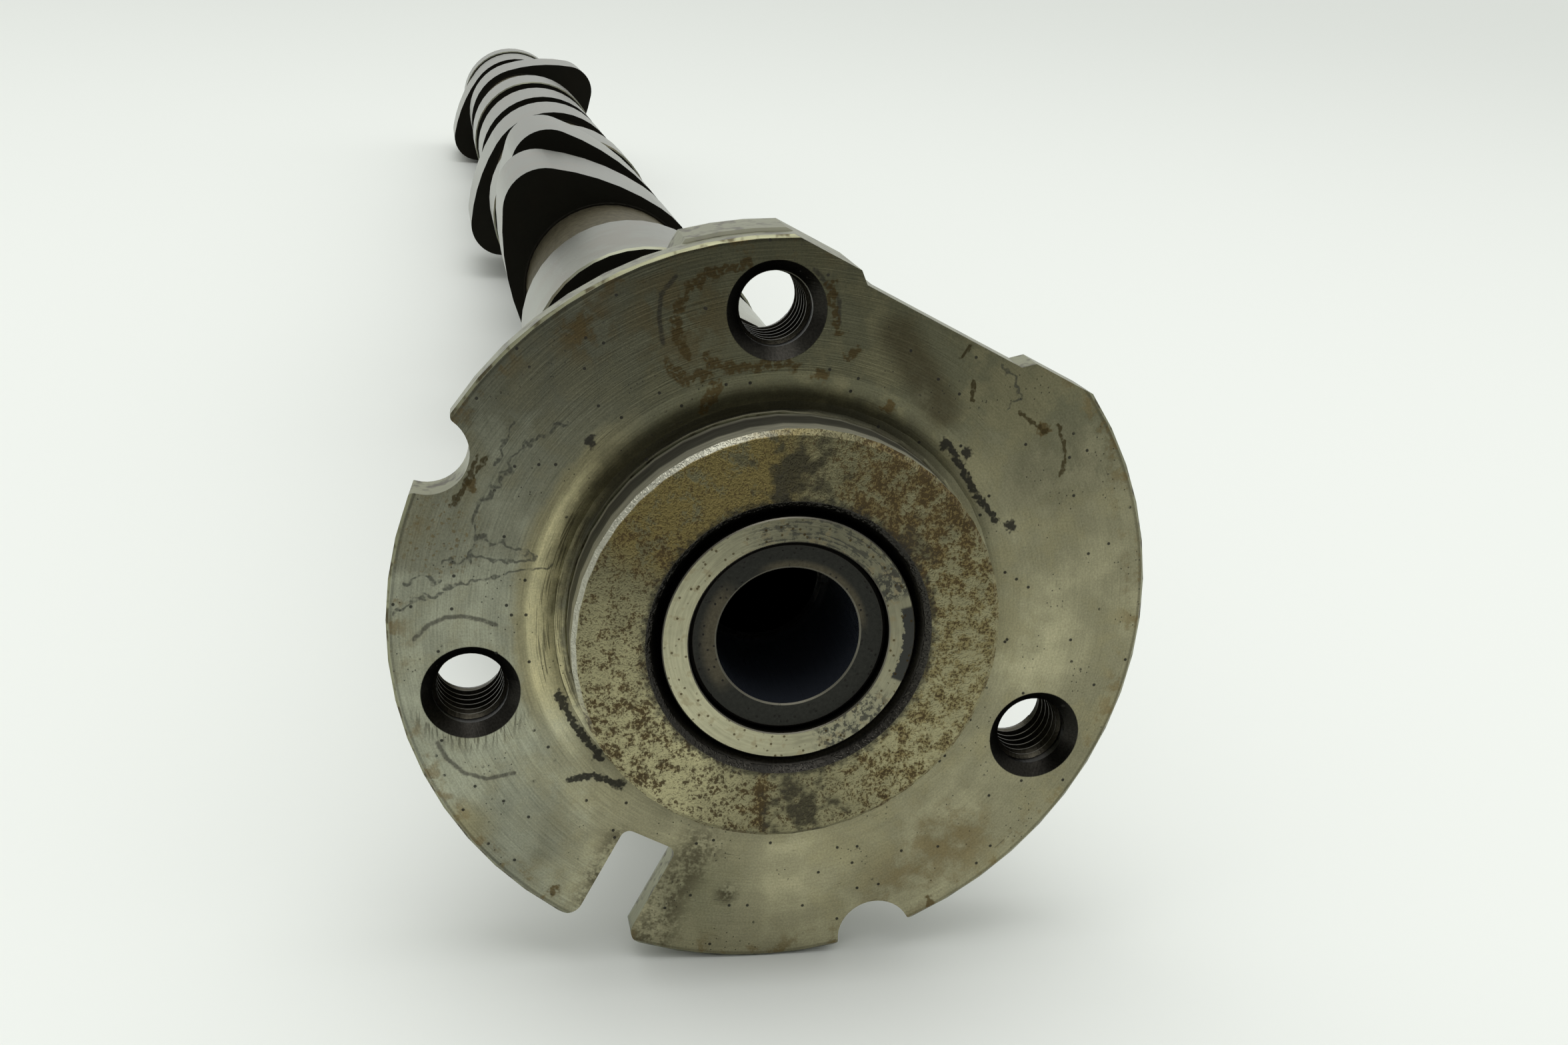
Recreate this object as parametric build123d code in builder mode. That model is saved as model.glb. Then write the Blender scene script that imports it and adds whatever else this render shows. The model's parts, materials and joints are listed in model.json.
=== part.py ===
from build123d import *
import os
from math import atan2, cos, degrees, radians, sin, tan

# Camshaft of a small engine: a notched drive flange with a pilot boss, then eight cams
# with a bearing journal after each pair. Millimetres.
# The origin is the centre of the flange's front face, on the shaft's axis.
# +Y runs along the shaft from the flange to its far end, and +Z is up.
# Angles are seen from in front of the flange: 0 points along +X and 90 along +Z.

# Flange plate, its rim bevelled in front and narrowing a little towards the back
flange_radius = 33.0
plate_thickness = 3.7
rim_chamfer = 0.25
rim_taper = 0.3

# Flat cut across the rim, with a shallow relief in it
flat_depth = 3.55
flat_angle = 64.4
relief_depth = 0.85
relief_width = 17.4
relief_offset = -0.2
relief_slope = 1.0

# Two round notches centred on the rim, and one open slot, worn wider behind on one side
notch_radius = 3.4
notch_angles = (154.1, -70.9)
notch_mouth_rounding = 0.5
slot_width = 5.2
slot_depth = 9.9
slot_angle = -116.3
slot_mouth_rounding = 1.4
slot_corner_rounding = 0.8
slot_flare = 0.5
slot_flare_depth = 1.6

# Three screw holes, each through a pad on the flange's back
hole_rim_distance = 6.2
hole_angles = (93.8, 193.8, 334.5)
hole_radius = 3.18
hole_chamfer_radius = 4.15
pad_radius = 8.8
pad_height = 4.9
hub_radius = 18.8
hub_root_fillet = 3.0

# Pilot boss, with a shallow dished groove round its foot
boss_radius = 18.19
boss_height = 5.14
boss_chamfer = 0.45
groove_width = 3.6
groove_floor_width = 1.0
groove_depth = 0.4
boss_root_fillet = 0.35

# Bore: a countersunk mouth, a seat for the rings, and a blind drilling behind it
mouth_radius = 12.12
seat_radius = 10.8
seat_depth = 16.0
drilling_radius = 5.6
drilling_depth = 34.0
drill_point_angle = 118.0

# Sleeve in the bore, and the bush in the sleeve, both against the shoulder of the seat
sleeve_clearance = 0.05
sleeve_recess = 0.2
sleeve_bore_radius = 8.53
sleeve_edge = 0.1
bush_clearance = 0.13
bush_recess = 0.9
bush_bore_radius = 6.1
bush_outer_edge = 0.3
bush_bore_edge = 0.12

# Core of the shaft
core_radius = 13.5

# Cams: base circle, round nose, and flank arcs tangent to both
cam_width = 26.0
cam_base_radius = 15.4
cam_tip_radius = 22.9
cam_nose_radius = 7.0
cam_half_angle = 72.0
first_cam = 18.5
cam_spacing = 39.0
bay_pitch = 131.5
cam_nose_angles = ((311.0, 208.0), (131.0, 118.0), (222.0, 297.0), (37.0, 217.0))

# Bearing journals, one after each pair of cams, the last one at the shaft's end
journal_radius = 15.9
journal_width = 23.3
first_journal = 95.7
journal_chamfer = 0.3
end_journal_gap = 3.0
end_journal_width = 14.0

os.makedirs("parts", exist_ok=True)


# Radii and places that follow from the sizes above
flat_distance = flange_radius - flat_depth
slot_floor_radius = flange_radius - slot_depth
hole_pitch_radius = flange_radius - hole_rim_distance
hub_back = plate_thickness + pad_height
cam_starts = [
    [first_cam + bay * bay_pitch + place * cam_spacing for place in range(len(pair))]
    for bay, pair in enumerate(cam_nose_angles)
]
end_journal_start = cam_starts[-1][-1] + cam_width + end_journal_gap
shaft_length = end_journal_start + end_journal_width


def plane_at(y, angle=0.0):
    """Plane across the shaft at y, facing the flange's front, its x axis turned by angle."""
    turn = radians(angle)
    return Plane(origin=(0, y, 0), x_dir=(cos(turn), 0, sin(turn)), z_dir=(0, -1, 0))


# Outline of the flange: a disc less its flat, relief, notches and slot
with BuildSketch(plane_at(0)) as flange_outline:
    Circle(flange_radius)
    with PolarLocations(flat_distance, 1, start_angle=flat_angle):
        Rectangle(flange_radius, 2 * flange_radius, align=(Align.MIN, Align.CENTER), mode=Mode.SUBTRACT)
    with PolarLocations(flat_distance, 1, start_angle=flat_angle):
        with Locations((0, relief_offset)):
            Polygon(
                (0, -relief_width / 2),
                (0, relief_width / 2),
                (-relief_depth, relief_width / 2 - relief_slope),
                (-relief_depth, relief_slope - relief_width / 2),
                align=None,
                mode=Mode.SUBTRACT,
            )
    for angle in notch_angles:
        with PolarLocations(flange_radius, 1, start_angle=angle):
            Circle(notch_radius, mode=Mode.SUBTRACT)
        notch_centre = Vector(flange_radius, 0).rotate(Axis.Z, angle)
        notch_mouth = flange_outline.vertices().filter_by(
            lambda v, centre=notch_centre: abs((Vector(*v) - centre).length - notch_radius) < 0.01
        )
        fillet(notch_mouth, radius=notch_mouth_rounding)
    with PolarLocations(slot_floor_radius, 1, start_angle=slot_angle):
        Rectangle(flange_radius, slot_width, align=(Align.MIN, Align.CENTER), mode=Mode.SUBTRACT)
    slot_direction = Vector(1, 0).rotate(Axis.Z, slot_angle)
    slot_floor = slot_direction * slot_floor_radius
    slot_mouth = slot_direction * flange_radius
    floor_corners = flange_outline.vertices().filter_by(
        lambda v: (Vector(*v) - slot_floor).length < slot_width * 0.6
    )
    fillet(floor_corners, radius=slot_corner_rounding)
    mouth_corners = flange_outline.vertices().filter_by(
        lambda v: (Vector(*v) - slot_mouth).length < slot_width * 0.6
    )
    fillet(mouth_corners, radius=slot_mouth_rounding)

# Shaft, flange and cams, one solid
with BuildPart() as camshaft:
    # Plate, with what its bevel and taper leave off cut away all round
    extrude(flange_outline.sketch, amount=-plate_thickness)
    with BuildSketch(Plane.XY):
        Polygon(
            (flange_radius - rim_chamfer, 0),
            (flange_radius, rim_chamfer),
            (flange_radius - rim_taper, plate_thickness),
            (2 * flange_radius, plate_thickness),
            (2 * flange_radius, 0),
            align=None,
        )
    revolve(axis=Axis.Y, mode=Mode.SUBTRACT)

    # Wear on the back of the slot's one wall, outwards from its floor corner
    slot_plane = plane_at(0, slot_angle)
    flare_start = slot_plane.x_dir * (slot_floor_radius + slot_corner_rounding)
    with BuildSketch(Plane(flare_start, x_dir=slot_plane.y_dir, z_dir=slot_plane.x_dir)):
        Polygon(
            (0, -plate_thickness),
            (slot_width / 2 + slot_flare, -plate_thickness),
            (slot_width / 2, slot_flare_depth - plate_thickness),
            (0, slot_flare_depth - plate_thickness),
            align=None,
        )
    extrude(amount=slot_depth, mode=Mode.SUBTRACT)

    # Screw pads on the back of the plate
    with BuildSketch(plane_at(plate_thickness)):
        for angle in hole_angles:
            with PolarLocations(hole_pitch_radius, 1, start_angle=angle):
                Circle(pad_radius)
        add(flange_outline.sketch_local, mode=Mode.INTERSECT)
    extrude(amount=-pad_height)

    # Hub behind the plate, and the core of the shaft
    with BuildSketch(Plane.XY) as shaft_half:
        Rectangle(hub_radius, hub_back, align=Align.MIN)
        Rectangle(core_radius, shaft_length, align=Align.MIN)
        hub_root = shaft_half.vertices().sort_by_distance((core_radius, hub_back))[0]
        fillet(hub_root, radius=hub_root_fillet)
    revolve(axis=Axis.Y)

    # Bearing journals
    journals = [(first_journal + bay * bay_pitch, journal_width) for bay in range(len(cam_starts) - 1)]
    journals.append((end_journal_start, end_journal_width))
    for start, width in journals:
        with BuildSketch(Plane.XY) as journal_half:
            with Locations((0, start)):
                Rectangle(journal_radius, width, align=Align.MIN)
            chamfer(journal_half.vertices().group_by(Axis.X)[-1], length=journal_chamfer)
        revolve(axis=Axis.Y)

    # Cams, in pairs
    nose_offset = cam_tip_radius - cam_nose_radius
    base_less_nose = cam_base_radius - cam_nose_radius
    flank_offset = (nose_offset**2 - base_less_nose**2) / (
        2 * (base_less_nose - nose_offset * cos(radians(cam_half_angle)))
    )
    flank_radius = flank_offset + cam_base_radius
    flank_x = -flank_offset * cos(radians(cam_half_angle))
    flank_y = flank_offset * sin(radians(cam_half_angle))
    nose_half_angle = degrees(atan2(flank_y, nose_offset - flank_x))
    flank_sweep = cam_half_angle - nose_half_angle
    for starts, angles in zip(cam_starts, cam_nose_angles):
        for start, angle in zip(starts, angles):
            with BuildSketch(plane_at(start, angle)):
                with BuildLine():
                    CenterArc((0, 0), cam_base_radius, cam_half_angle, 360 - 2 * cam_half_angle)
                    CenterArc((flank_x, flank_y), flank_radius, -cam_half_angle, flank_sweep)
                    CenterArc((nose_offset, 0), cam_nose_radius, -nose_half_angle, 2 * nose_half_angle)
                    CenterArc((flank_x, -flank_y), flank_radius, nose_half_angle, flank_sweep)
                make_face()
            extrude(amount=-cam_width)

    # Pilot boss and the groove round its foot
    with BuildSketch(Plane.XY):
        with BuildLine():
            Line((boss_radius, 0), (boss_radius + groove_width, 0))
            TangentArc(
                (boss_radius + groove_width, 0),
                (boss_radius + groove_floor_width, groove_depth),
                tangent=(-1, 0),
            )
            Polyline(
                (boss_radius + groove_floor_width, groove_depth),
                (boss_radius, groove_depth),
                (boss_radius, 0),
            )
        make_face()
    revolve(axis=Axis.Y, mode=Mode.SUBTRACT)
    with BuildSketch(plane_at(groove_depth)):
        Circle(boss_radius)
    extrude(amount=groove_depth + boss_height)
    boss_edges = camshaft.edges().filter_by(GeomType.CIRCLE).filter_by(
        lambda e: abs(e.radius - boss_radius) < 0.01
    )
    chamfer(boss_edges.sort_by(Axis.Y)[0], length=boss_chamfer)
    boss_root = camshaft.edges().filter_by(GeomType.CIRCLE).filter_by(
        lambda e: abs(e.radius - boss_radius) < 0.01 and abs(e.center().Y - groove_depth) < 0.01
    )
    fillet(boss_root, radius=boss_root_fillet)

    # Bore from the boss's face inwards
    seat_shoulder = seat_depth - boss_height
    drilling_end = drilling_depth - boss_height
    drill_point = drilling_radius / tan(radians(drill_point_angle / 2))
    with BuildSketch(Plane.XY):
        with BuildLine():
            Polyline(
                (0, -boss_height),
                (mouth_radius, -boss_height),
                (seat_radius, mouth_radius - seat_radius - boss_height),
                (seat_radius, seat_shoulder),
                (drilling_radius, seat_shoulder),
                (drilling_radius, drilling_end),
                (0, drilling_end + drill_point),
                close=True,
            )
        make_face()
    revolve(axis=Axis.Y, mode=Mode.SUBTRACT)

    # Screw holes through plate and pads
    with Locations(plane_at(0)):
        for angle in hole_angles:
            with PolarLocations(hole_pitch_radius, 1, start_angle=angle):
                CounterSinkHole(hole_radius, hole_chamfer_radius, depth=hub_back, counter_sink_angle=90)

# Sleeve
with BuildPart() as bore_sleeve:
    with BuildSketch(Plane.XY) as sleeve_half:
        with Locations((sleeve_bore_radius, sleeve_recess - boss_height)):
            Rectangle(
                seat_radius - sleeve_clearance - sleeve_bore_radius,
                seat_depth - sleeve_recess,
                align=Align.MIN,
            )
        chamfer(sleeve_half.vertices().group_by(Axis.Y)[0], length=sleeve_edge)
    revolve(axis=Axis.Y)

# Bush
with BuildPart() as bore_bush:
    with BuildSketch(Plane.XY) as bush_half:
        with Locations((bush_bore_radius, bush_recess - boss_height)):
            Rectangle(
                sleeve_bore_radius - bush_clearance - bush_bore_radius,
                seat_depth - bush_recess,
                align=Align.MIN,
            )
        front_corners = bush_half.vertices().group_by(Axis.Y)[0].sort_by(Axis.X)
        chamfer(front_corners[0], length=bush_bore_edge)
        chamfer(front_corners[-1], length=bush_outer_edge)
    revolve(axis=Axis.Y)

camshaft.part.label = "camshaft"
bore_sleeve.part.label = "bore_sleeve"
bore_bush.part.label = "bore_bush"

export_step(camshaft.part, "parts/camshaft.step")
export_step(bore_sleeve.part, "parts/bore_sleeve.step")
export_step(bore_bush.part, "parts/bore_bush.step")
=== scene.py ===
import bpy
import bmesh
import json
from math import cos, pi, sin
from mathutils import Matrix, Vector


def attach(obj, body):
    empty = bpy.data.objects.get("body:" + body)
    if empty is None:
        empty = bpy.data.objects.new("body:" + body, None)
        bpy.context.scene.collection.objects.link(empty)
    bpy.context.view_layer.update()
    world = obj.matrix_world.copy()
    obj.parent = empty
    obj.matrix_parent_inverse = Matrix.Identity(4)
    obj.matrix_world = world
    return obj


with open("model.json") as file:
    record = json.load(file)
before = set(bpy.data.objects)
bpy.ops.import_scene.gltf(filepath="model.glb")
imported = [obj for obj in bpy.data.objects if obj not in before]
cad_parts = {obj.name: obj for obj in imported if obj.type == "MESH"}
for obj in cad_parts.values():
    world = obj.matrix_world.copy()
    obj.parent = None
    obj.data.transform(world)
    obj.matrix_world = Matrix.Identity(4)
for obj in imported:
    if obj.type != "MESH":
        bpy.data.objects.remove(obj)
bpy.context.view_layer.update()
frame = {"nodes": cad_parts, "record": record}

# Sizes of the part that the looks follow, in millimetres
MM = 0.001
FLANGE_RADIUS = 33.0
RIM_BEVEL = 0.25
HUB_BACK = 8.6
PLATE_BACK = 3.7
SHAFT_END = 495.0
BOSS_FRONT = -5.14
BOSS_RADIUS = 18.19
BOSS_CHAMFER = 0.45
MOUTH_RADIUS = 12.12
CORE_RADIUS = 13.5
SLEEVE_MIDDLE = 9.75
BUSH_FRONT = -4.24
BUSH_BORE = 6.1
HOLES = [mount for mount in frame["record"]["mounts"] if mount["kind"] == "threaded_hole"]
HOLE_CENTRES = [(mount["pos_m"][0] / MM, mount["pos_m"][2] / MM) for mount in HOLES]
HOLE_RADIUS = HOLES[0]["dims"]["r_mm"]
COUNTERSINK = 4.15
THREAD_CREST = 2.88
THREAD_PITCH = 1.0

# Colours, as linear values: steel, oils and dirt, and painted light and shade, on the flange and
# the boss
CLEAN_STEEL = (0.37, 0.375, 0.285)
WARM_STEEL = (0.356, 0.332, 0.214)
# Oiled steel, also used as painted shade on the top of the face
OILED_AND_SHADED_STEEL = (0.19, 0.185, 0.118)
OILED_AND_SHADED_STEEL_LEFT = (0.19, 0.187, 0.136)
BOSS_STEEL = (0.345, 0.318, 0.185)
BOSS_EDGE_HIGHLIGHT = (0.50, 0.49, 0.40)
WALL_STEEL = (0.31, 0.30, 0.235)
RIM_STEEL = (0.24, 0.24, 0.155)
RIM_STAIN = (0.085, 0.075, 0.045)
PAINTED_LEDGE_LIGHT = (0.60, 0.59, 0.48)
VARNISH = (0.355, 0.320, 0.185)
AMBER = (0.215, 0.165, 0.060)
RUST = (0.190, 0.135, 0.055)
PIT = (0.052, 0.034, 0.012)
OIL_BROWN = (0.115, 0.080, 0.033)
WEDGE_BROWN = (0.11, 0.095, 0.055)
THIN_BROWN = (0.060, 0.045, 0.020)
# Dark by the boss: partly oil, partly painted shade
OIL_AND_SHADE_BY_BOSS = (0.050, 0.047, 0.034)
SLOT_SMUDGE = (0.055, 0.045, 0.028)
BOSS_SMUDGE = (0.062, 0.055, 0.036)
WASHER_GREY = (0.075, 0.070, 0.058)
TIDE_GREY = (0.07, 0.07, 0.06)
HAIR_BROWN = (0.045, 0.038, 0.022)
# Near black: oil, and painted shade in gaps and deep in the bore
BLACK_OIL_AND_SHADE = (0.030, 0.028, 0.024)
SOOT = (0.022, 0.020, 0.017)

# Colours of the shaft behind the flange
POLISHED = (0.43, 0.44, 0.325)
SHAFT_FILM = (0.15, 0.13, 0.085)
CAST_DARK = (0.045, 0.040, 0.026)
CAST_PALE = (0.175, 0.155, 0.100)
CAM_SIDE_SOOT_AND_SHADE = (0.012, 0.011, 0.009)

# Colours of the sleeve, the bush and the threads
SLEEVE_STEEL = (0.44, 0.42, 0.285)
SLEEVE_BROWN = (0.22, 0.17, 0.09)
SLEEVE_SMEAR = (0.055, 0.055, 0.050)
SLEEVE_EDGE = (0.16, 0.15, 0.12)
SINTER = (0.026, 0.026, 0.022)
SINTER_WORN = (0.13, 0.11, 0.07)
BUSH_LIP = (0.19, 0.18, 0.14)
BUSH_WALL = (0.10, 0.115, 0.15)
THREAD_DARK = (0.020, 0.018, 0.014)
THREAD_PALE = (0.110, 0.100, 0.075)

# Marks on the flange's front, as lines through places (x, z) in millimetres
TIDE_LINES = (
    ((-23.0, 17.2), (-23.7, 15.0), (-24.1, 13.3)),
    ((-18.7, 17.2), (-21.8, 15.5), (-24.5, 11.4), (-26.4, 8.6)),
    ((-26.0, 8.6), (-25.6, 7.4), (-26.4, 5.4), (-28.5, 5.2)),
    ((-25.6, 7.4), (-20.7, 5.8), (-24.2, 5.3), (-26.0, 5.8)),
    ((-28.3, 3.1), (-25.7, 3.6), (-19.4, 4.9)),
    ((-31.5, 3.6), (-30.0, 4.1), (-28.8, 3.6)),
    ((-32.3, 0.6), (-30.8, 1.9), (-28.3, 2.6)),
    ((17.9, 22.4), (19.6, 20.3), (18.8, 18.8)),
)
BROWN_LINES = (
    ((-8.8, 28.8), (-10.2, 25.8), (-9.1, 22.9)),
    ((-9.0, 28.5), (-7.2, 29.8), (-4.5, 30.4)),
    ((-10.5, 22.1), (-8.9, 20.9), (-7.3, 21.3)),
    ((-7.4, 22.6), (-6.0, 21.9), (0.1, 22.4)),
    ((-6.3, 20.6), (-7.6, 18.2)),
    ((2.4, 29.1), (3.4, 25.3)),
)
THIN_BROWN_LINES = (
    ((-25.6, 14.3), (-27.4, 10.2)),
    ((-24.9, 14.2), (-27.8, 10.2)),
    ((19.7, 18.4), (22.4, 16.7)),
    ((23.3, 17.3), (24.2, 14.9), (24.0, 13.0)),
    ((14.2, 23.2), (14.8, 24.1)),
    ((15.4, 21.1), (15.4, 19.5)),
)
# Curved marks that a washer leaves round the holes
WASHER_MARKS = (
    ((-30.7, -1.5), (-29.6, -0.3), (-28.2, 0.4), (-26.8, 0.5), (-25.4, 0.2), (-24.0, -0.3)),
    ((-28.8, -10.9), (-28.0, -12.4), (-26.5, -13.8), (-24.6, -14.4), (-22.3, -13.9)),
    ((-10.2, 29.3), (-11.3, 27.9), (-11.4, 26.0), (-11.0, 23.9)),
    ((1.1, 30.2), (3.3, 27.8), (3.4, 25.8)),
)
BLACK_SCRATCHES = (
    ((-18.7, -6.8), (-17.2, -9.8), (-14.8, -12.9)),
    ((-17.7, -14.7), (-15.4, -14.4), (-13.1, -15.5)),
    ((13.4, 15.9), (15.2, 13.4), (16.2, 11.6), (18.5, 8.9)),
)
STAINED_WEDGE = ((8.6, 25.0), (12.8, 18.6))
RIGHT_OF_SLOT = ((-9.8, -30.6), (-8.6, -26.5), (-5.8, -21.8))
LEFT_OF_SLOT = ((-15.8, -27.8), (-13.2, -21.0))

# Round marks on it, as places
BLOTS = (
    (13.4, 15.5), (-13.2, -15.3), (-18.4, -7.2), (-15.1, -12.5), (19.9, 8.4), (15.3, 14.9),
    (-16.6, 15.6),
)
BROWN_BLOTS = (
    (4.8, 23.4), (2.2, 21.4), (8.3, 18.8), (16.1, -28.2), (-18.7, -25.6), (-26.2, 11.8),
    (22.0, 17.0),
)

# Soft spots on it, each as its place, its radius and the width over which it fades
DARKER_BY_SLOT = ((-5.5, -26.0), 1.0, 6.0)
SHEEN_RIGHT = ((22.0, -2.5), 2.0, 6.0)
DARKER_RIGHT = ((29.0, -14.0), 3.0, 9.0)
VARNISHED_LOW = ((-26.5, -19.0), 0.8, 3.0)
# Painted light and painted shade on the face
LIT_LOW = ((3.4, -24.0), 2.0, 4.0)
DIM_BY_HOLE = ((-15.1, -10.4), 1.0, 4.0)
DIM_LOW_LEFT = ((-21.7, -20.3), 1.5, 5.0)
DIM_RIGHT = ((24.0, 13.5), 1.5, 5.0)
STAINED_RIGHT = ((17.0, -21.5), 1.5, 5.0)
STAINED_LOW = ((14.5, -27.0), 1.5, 5.5)
STAINED_TOP = ((-17.5, 25.0), 0.5, 3.5)
STAINED_BY_HOLE = ((-9.5, 26.0), 2.0, 4.5)
SPECKLED = ((-28.6, 7.4), 2.0, 3.0)
SLOT_SMUDGES = (((-13.2, -21.8), 0.4, 1.6), ((-14.6, -24.2), 0.5, 1.7), ((-3.2, -26.4), 0.2, 1.4))

# Sectors about the axis, each as its middle, half its width and its fade, in degrees
VARNISHED_LEFT = (168.0, 28.0, 18.0)
LIT_LEFT = (180.0, 24.0, 20.0)
# Where the face near the boss is darkened, partly oil and partly painted shade
OIL_AND_SHADE_ABOVE_BOSS = (102.0, 40.0, 42.0)
OIL_AND_SHADE_UPPER_LEFT = (148.0, 22.0, 18.0)
OIL_AND_SHADE_LEFT = (185.0, 30.0, 15.0)
DASHED_LEFT = (176.0, 22.0, 14.0)
BOSS_AMBER = (122.0, 22.0, 18.0)
BOSS_OCHRE = (5.0, 50.0, 35.0)
BOSS_ROUND_PITS = (-126.0, 34.0, 12.0)
BOSS_BRIGHT_EDGE = (150.0, 35.0, 25.0)
WALL_LIT = (110.0, 75.0, 25.0)
SLEEVE_DARK_PATCH = (-3.0, 18.0, 1.5)
SLEEVE_SMUDGE = (30.0, 6.0, 5.0)
SLEEVE_LOW = (-52.0, 14.0, 12.0)
SLEEVE_TOP = (70.0, 34.0, 14.0)
BUSH_WORN_LEFT = (180.0, 28.0, 20.0)
BUSH_WORN_RIGHT = (60.0, 40.0, 20.0)

# Dark smooth patches on the boss's face, each as its place, where it fades out and its strength
BOSS_PATCHES = (
    ((-0.6, 14.4), (0.8, 3.6), 1.0),
    ((2.0, -15.6), (0.8, 3.2), 1.0),
    ((9.8, 8.0), (0.2, 3.0), 0.6),
)

# How thickly the boss's face is pitted, by direction in degrees from +x; 1 is solid rust
PITTING = (
    (-180, 0.50), (-158, 0.62), (-135, 0.62), (-122, 0.40), (-106, 0.46), (-98, 0.78), (-90, 0.40),
    (-72, 0.40), (-62, 0.62), (-35, 0.46), (-8, 0.40), (18, 0.54), (40, 0.78), (68, 0.74),
    (80, 0.42), (100, 0.25), (132, 0.35), (146, 0.62), (160, 0.46), (180, 0.50),
)
# How bright the boss's face is, and the sleeve's, by direction: partly their own tone, and partly
# painted shade that darkens their tops
BOSS_TONE_AND_SHADE = (
    (-180, 0.98), (-160, 1.15), (-125, 1.38), (-100, 0.80), (-80, 0.70), (-45, 1.12), (0, 0.92),
    (40, 0.70), (75, 0.60), (120, 0.58), (150, 0.52), (168, 0.78), (180, 0.98),
)
SLEEVE_TONE_AND_SHADE = (
    (-180, 1.0), (-135, 1.1), (-95, 0.9), (-60, 0.7), (0, 0.62), (50, 0.45), (90, 0.45),
    (120, 0.7), (150, 0.92), (180, 1.0),
)

# The middle of a noise, and the stretch of one that runs evenly through space
MIDDLE = 0.5
THROUGH_SPACE = (1, 1, 1)

# The studio. The sky's light follows two axes of the direction: for each, its number, where along
# it the light changes from and to, and the strength before and after.
FLOOR_COLOUR = (0.84, 0.86, 0.83)
FLAG_COLOUR = (0.03, 0.03, 0.03)
SKY_COLOUR = (0.98, 1.0, 0.97, 1.0)
SKY_BEHIND = (1, (-0.8, 0.4, 0.25, 0.77))
SKY_OVERHEAD = (2, (0.2, 0.8, 0.0, 0.36))
LAMP_PLACE = (-0.05, -0.1, 1.0)
LAMP_SIDE = 0.8
LAMP_WATTS = 3.5
CAMERA_PLACE = (-30.1, -142.6, 55.1)
CAMERA_RIGHT = (0.9806, -0.1865, 0.0607)
CAMERA_AHEAD = (0.1961, 0.9324, -0.3036)
SENSOR_WIDTH = 36.0
FOCAL_LENGTH = 41.63


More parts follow.
